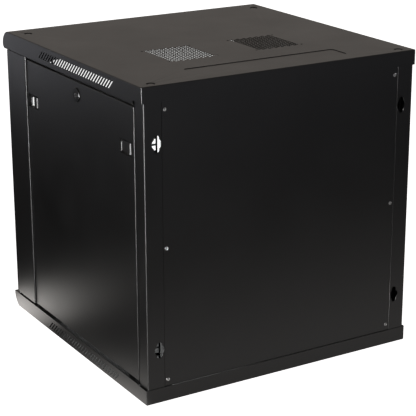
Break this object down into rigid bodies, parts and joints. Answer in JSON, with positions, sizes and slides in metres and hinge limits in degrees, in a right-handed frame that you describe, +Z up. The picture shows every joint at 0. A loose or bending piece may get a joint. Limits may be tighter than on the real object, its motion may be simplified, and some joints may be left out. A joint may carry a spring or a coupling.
{
  "type": "wall mount network cabinet",
  "caption": "Wall mount network cabinet: folded steel case with a hinged glass front door, lift-off side panels, keyholes for hanging and depth-adjustable rack rails.",
  "frame": {"origin": "under the middle of the cabinet, on the plane that it stands on", "axes": "+Z up, -Y toward the glass door, +Y toward the wall, +X to the right seen from the door"},
  "size_m": [0.6, 0.6, 0.604],
  "materials": {
    "powder_coated_steel": "fine textured powder coat",
    "rail_coating": "smooth powder coat",
    "plated_sheet": "smooth powder coat",
    "zinc_plated_steel": "zinc plated",
    "dark_bolt_steel": "blackened",
    "latch_plastic": "moulded, matte",
    "lock_body": "dark nickel",
    "lock_metal": "nickel plated",
    "door_pane": "clear, lightly grey",
    "door_seal": "matte"
  },
  "bodies": {
    "cabinet": {"top_cover": "powder_coated_steel", "bottom_tray": "powder_coated_steel", "cable_entry_plate_top": "powder_coated_steel", "cable_entry_plate_bottom": "powder_coated_steel", "entry_screws_top": "zinc_plated_steel", "entry_screws_bottom": "zinc_plated_steel", "corner_bolts_top": "dark_bolt_steel", "corner_bolts_bottom": "dark_bolt_steel", "front_post_left": "powder_coated_steel", "front_post_right": "powder_coated_steel", "rear_post_left": "powder_coated_steel", "rear_post_right": "powder_coated_steel", "rear_panel": "powder_coated_steel", "rear_panel_screws": "zinc_plated_steel", "rail_support_lower_left": "plated_sheet", "rail_support_lower_right": "plated_sheet", "rail_support_upper_left": "plated_sheet", "rail_support_upper_right": "plated_sheet", "support_bolts": "zinc_plated_steel", "hinge_pin_lower": "zinc_plated_steel"},
    "door": {"door_frame": "powder_coated_steel", "door_glass": "door_pane", "door_seal": "door_seal", "door_lock_barrel": "lock_body", "door_lock_nut": "lock_body", "hinge_bush": "zinc_plated_steel", "hinge_pin_guide": "zinc_plated_steel"},
    "door_lock": {"door_lock_plug": "lock_metal", "door_lock_cam": "lock_metal", "door_lock_cam_screw": "lock_metal"},
    "hinge_pin": {"hinge_pin_upper": "zinc_plated_steel"},
    "side_panel_left": {"side_panel_left": "powder_coated_steel", "latch_housing_front_left": "latch_plastic", "latch_housing_rear_left": "latch_plastic", "side_lock_barrel_left": "lock_body", "side_lock_nut_left": "lock_body"},
    "side_lock_left": {"side_lock_plug_left": "lock_metal", "side_lock_cam_left": "lock_metal", "side_lock_cam_screw_left": "lock_metal"},
    "latch_front_left": {"latch_slider_front_left": "latch_plastic"},
    "rail_front_left": {"mounting_rail_front_left": "rail_coating", "rail_bolts_front_left": "zinc_plated_steel"},
    "latch_rear_left": {"latch_slider_rear_left": "latch_plastic"},
    "rail_rear_left": {"mounting_rail_rear_left": "rail_coating", "rail_bolts_rear_left": "zinc_plated_steel"},
    "side_panel_right": {"side_panel_right": "powder_coated_steel", "latch_housing_front_right": "latch_plastic", "latch_housing_rear_right": "latch_plastic", "side_lock_barrel_right": "lock_body", "side_lock_nut_right": "lock_body"},
    "side_lock_right": {"side_lock_plug_right": "lock_metal", "side_lock_cam_right": "lock_metal", "side_lock_cam_screw_right": "lock_metal"},
    "latch_front_right": {"latch_slider_front_right": "latch_plastic"},
    "rail_front_right": {"mounting_rail_front_right": "rail_coating", "rail_bolts_front_right": "zinc_plated_steel"},
    "latch_rear_right": {"latch_slider_rear_right": "latch_plastic"},
    "rail_rear_right": {"mounting_rail_rear_right": "rail_coating", "rail_bolts_rear_right": "zinc_plated_steel"}
  },
  "joints": [
    {"name": "door_hinge", "type": "hinge", "parent": "cabinet", "child": "door", "pos_m": [0.292, -0.28, 0.034], "axis": [0, 0, 1], "range_deg": [0, 180]},
    {"name": "door_lock_turn", "type": "hinge", "parent": "door", "child": "door_lock", "pos_m": [-0.283, -0.28, 0.302], "axis": [0, 1, 0], "range_deg": [-90, 0]},
    {"name": "hinge_pin_spring", "type": "slide", "parent": "door", "child": "hinge_pin", "axis": [0, 0, 1], "range_m": [-0.009, 0], "stiffness_N_per_m": 300, "springref_m": 0.01},
    {"name": "side_panel_left_lift_off", "type": "slide", "parent": "cabinet", "child": "side_panel_left", "axis": [-1, 0, 0], "range_m": [0, 0.1]},
    {"name": "side_lock_left_turn", "type": "hinge", "parent": "side_panel_left", "child": "side_lock_left", "pos_m": [-0.29, 0.0368, 0.536], "axis": [1, 0, 0], "range_deg": [-90, 0]},
    {"name": "latch_front_left_slide", "type": "slide", "parent": "side_panel_left", "child": "latch_front_left", "axis": [0, 1, 0], "range_m": [-0.006, 0]},
    {"name": "rail_front_left_depth", "type": "slide", "parent": "cabinet", "child": "rail_front_left", "axis": [0, 1, 0], "range_m": [0, 0.15]},
    {"name": "latch_rear_left_slide", "type": "slide", "parent": "side_panel_left", "child": "latch_rear_left", "axis": [0, -1, 0], "range_m": [-0.006, 0]},
    {"name": "rail_rear_left_depth", "type": "slide", "parent": "cabinet", "child": "rail_rear_left", "axis": [0, 1, 0], "range_m": [-0.15, 0]},
    {"name": "side_panel_right_lift_off", "type": "slide", "parent": "cabinet", "child": "side_panel_right", "axis": [1, 0, 0], "range_m": [0, 0.1]},
    {"name": "side_lock_right_turn", "type": "hinge", "parent": "side_panel_right", "child": "side_lock_right", "pos_m": [0.29, 0.0368, 0.536], "axis": [1, 0, 0], "range_deg": [-90, 0]},
    {"name": "latch_front_right_slide", "type": "slide", "parent": "side_panel_right", "child": "latch_front_right", "axis": [0, 1, 0], "range_m": [-0.006, 0]},
    {"name": "rail_front_right_depth", "type": "slide", "parent": "cabinet", "child": "rail_front_right", "axis": [0, 1, 0], "range_m": [0, 0.15]},
    {"name": "latch_rear_right_slide", "type": "slide", "parent": "side_panel_right", "child": "latch_rear_right", "axis": [0, -1, 0], "range_m": [-0.006, 0]},
    {"name": "rail_rear_right_depth", "type": "slide", "parent": "cabinet", "child": "rail_rear_right", "axis": [0, 1, 0], "range_m": [-0.15, 0]}
  ]
}
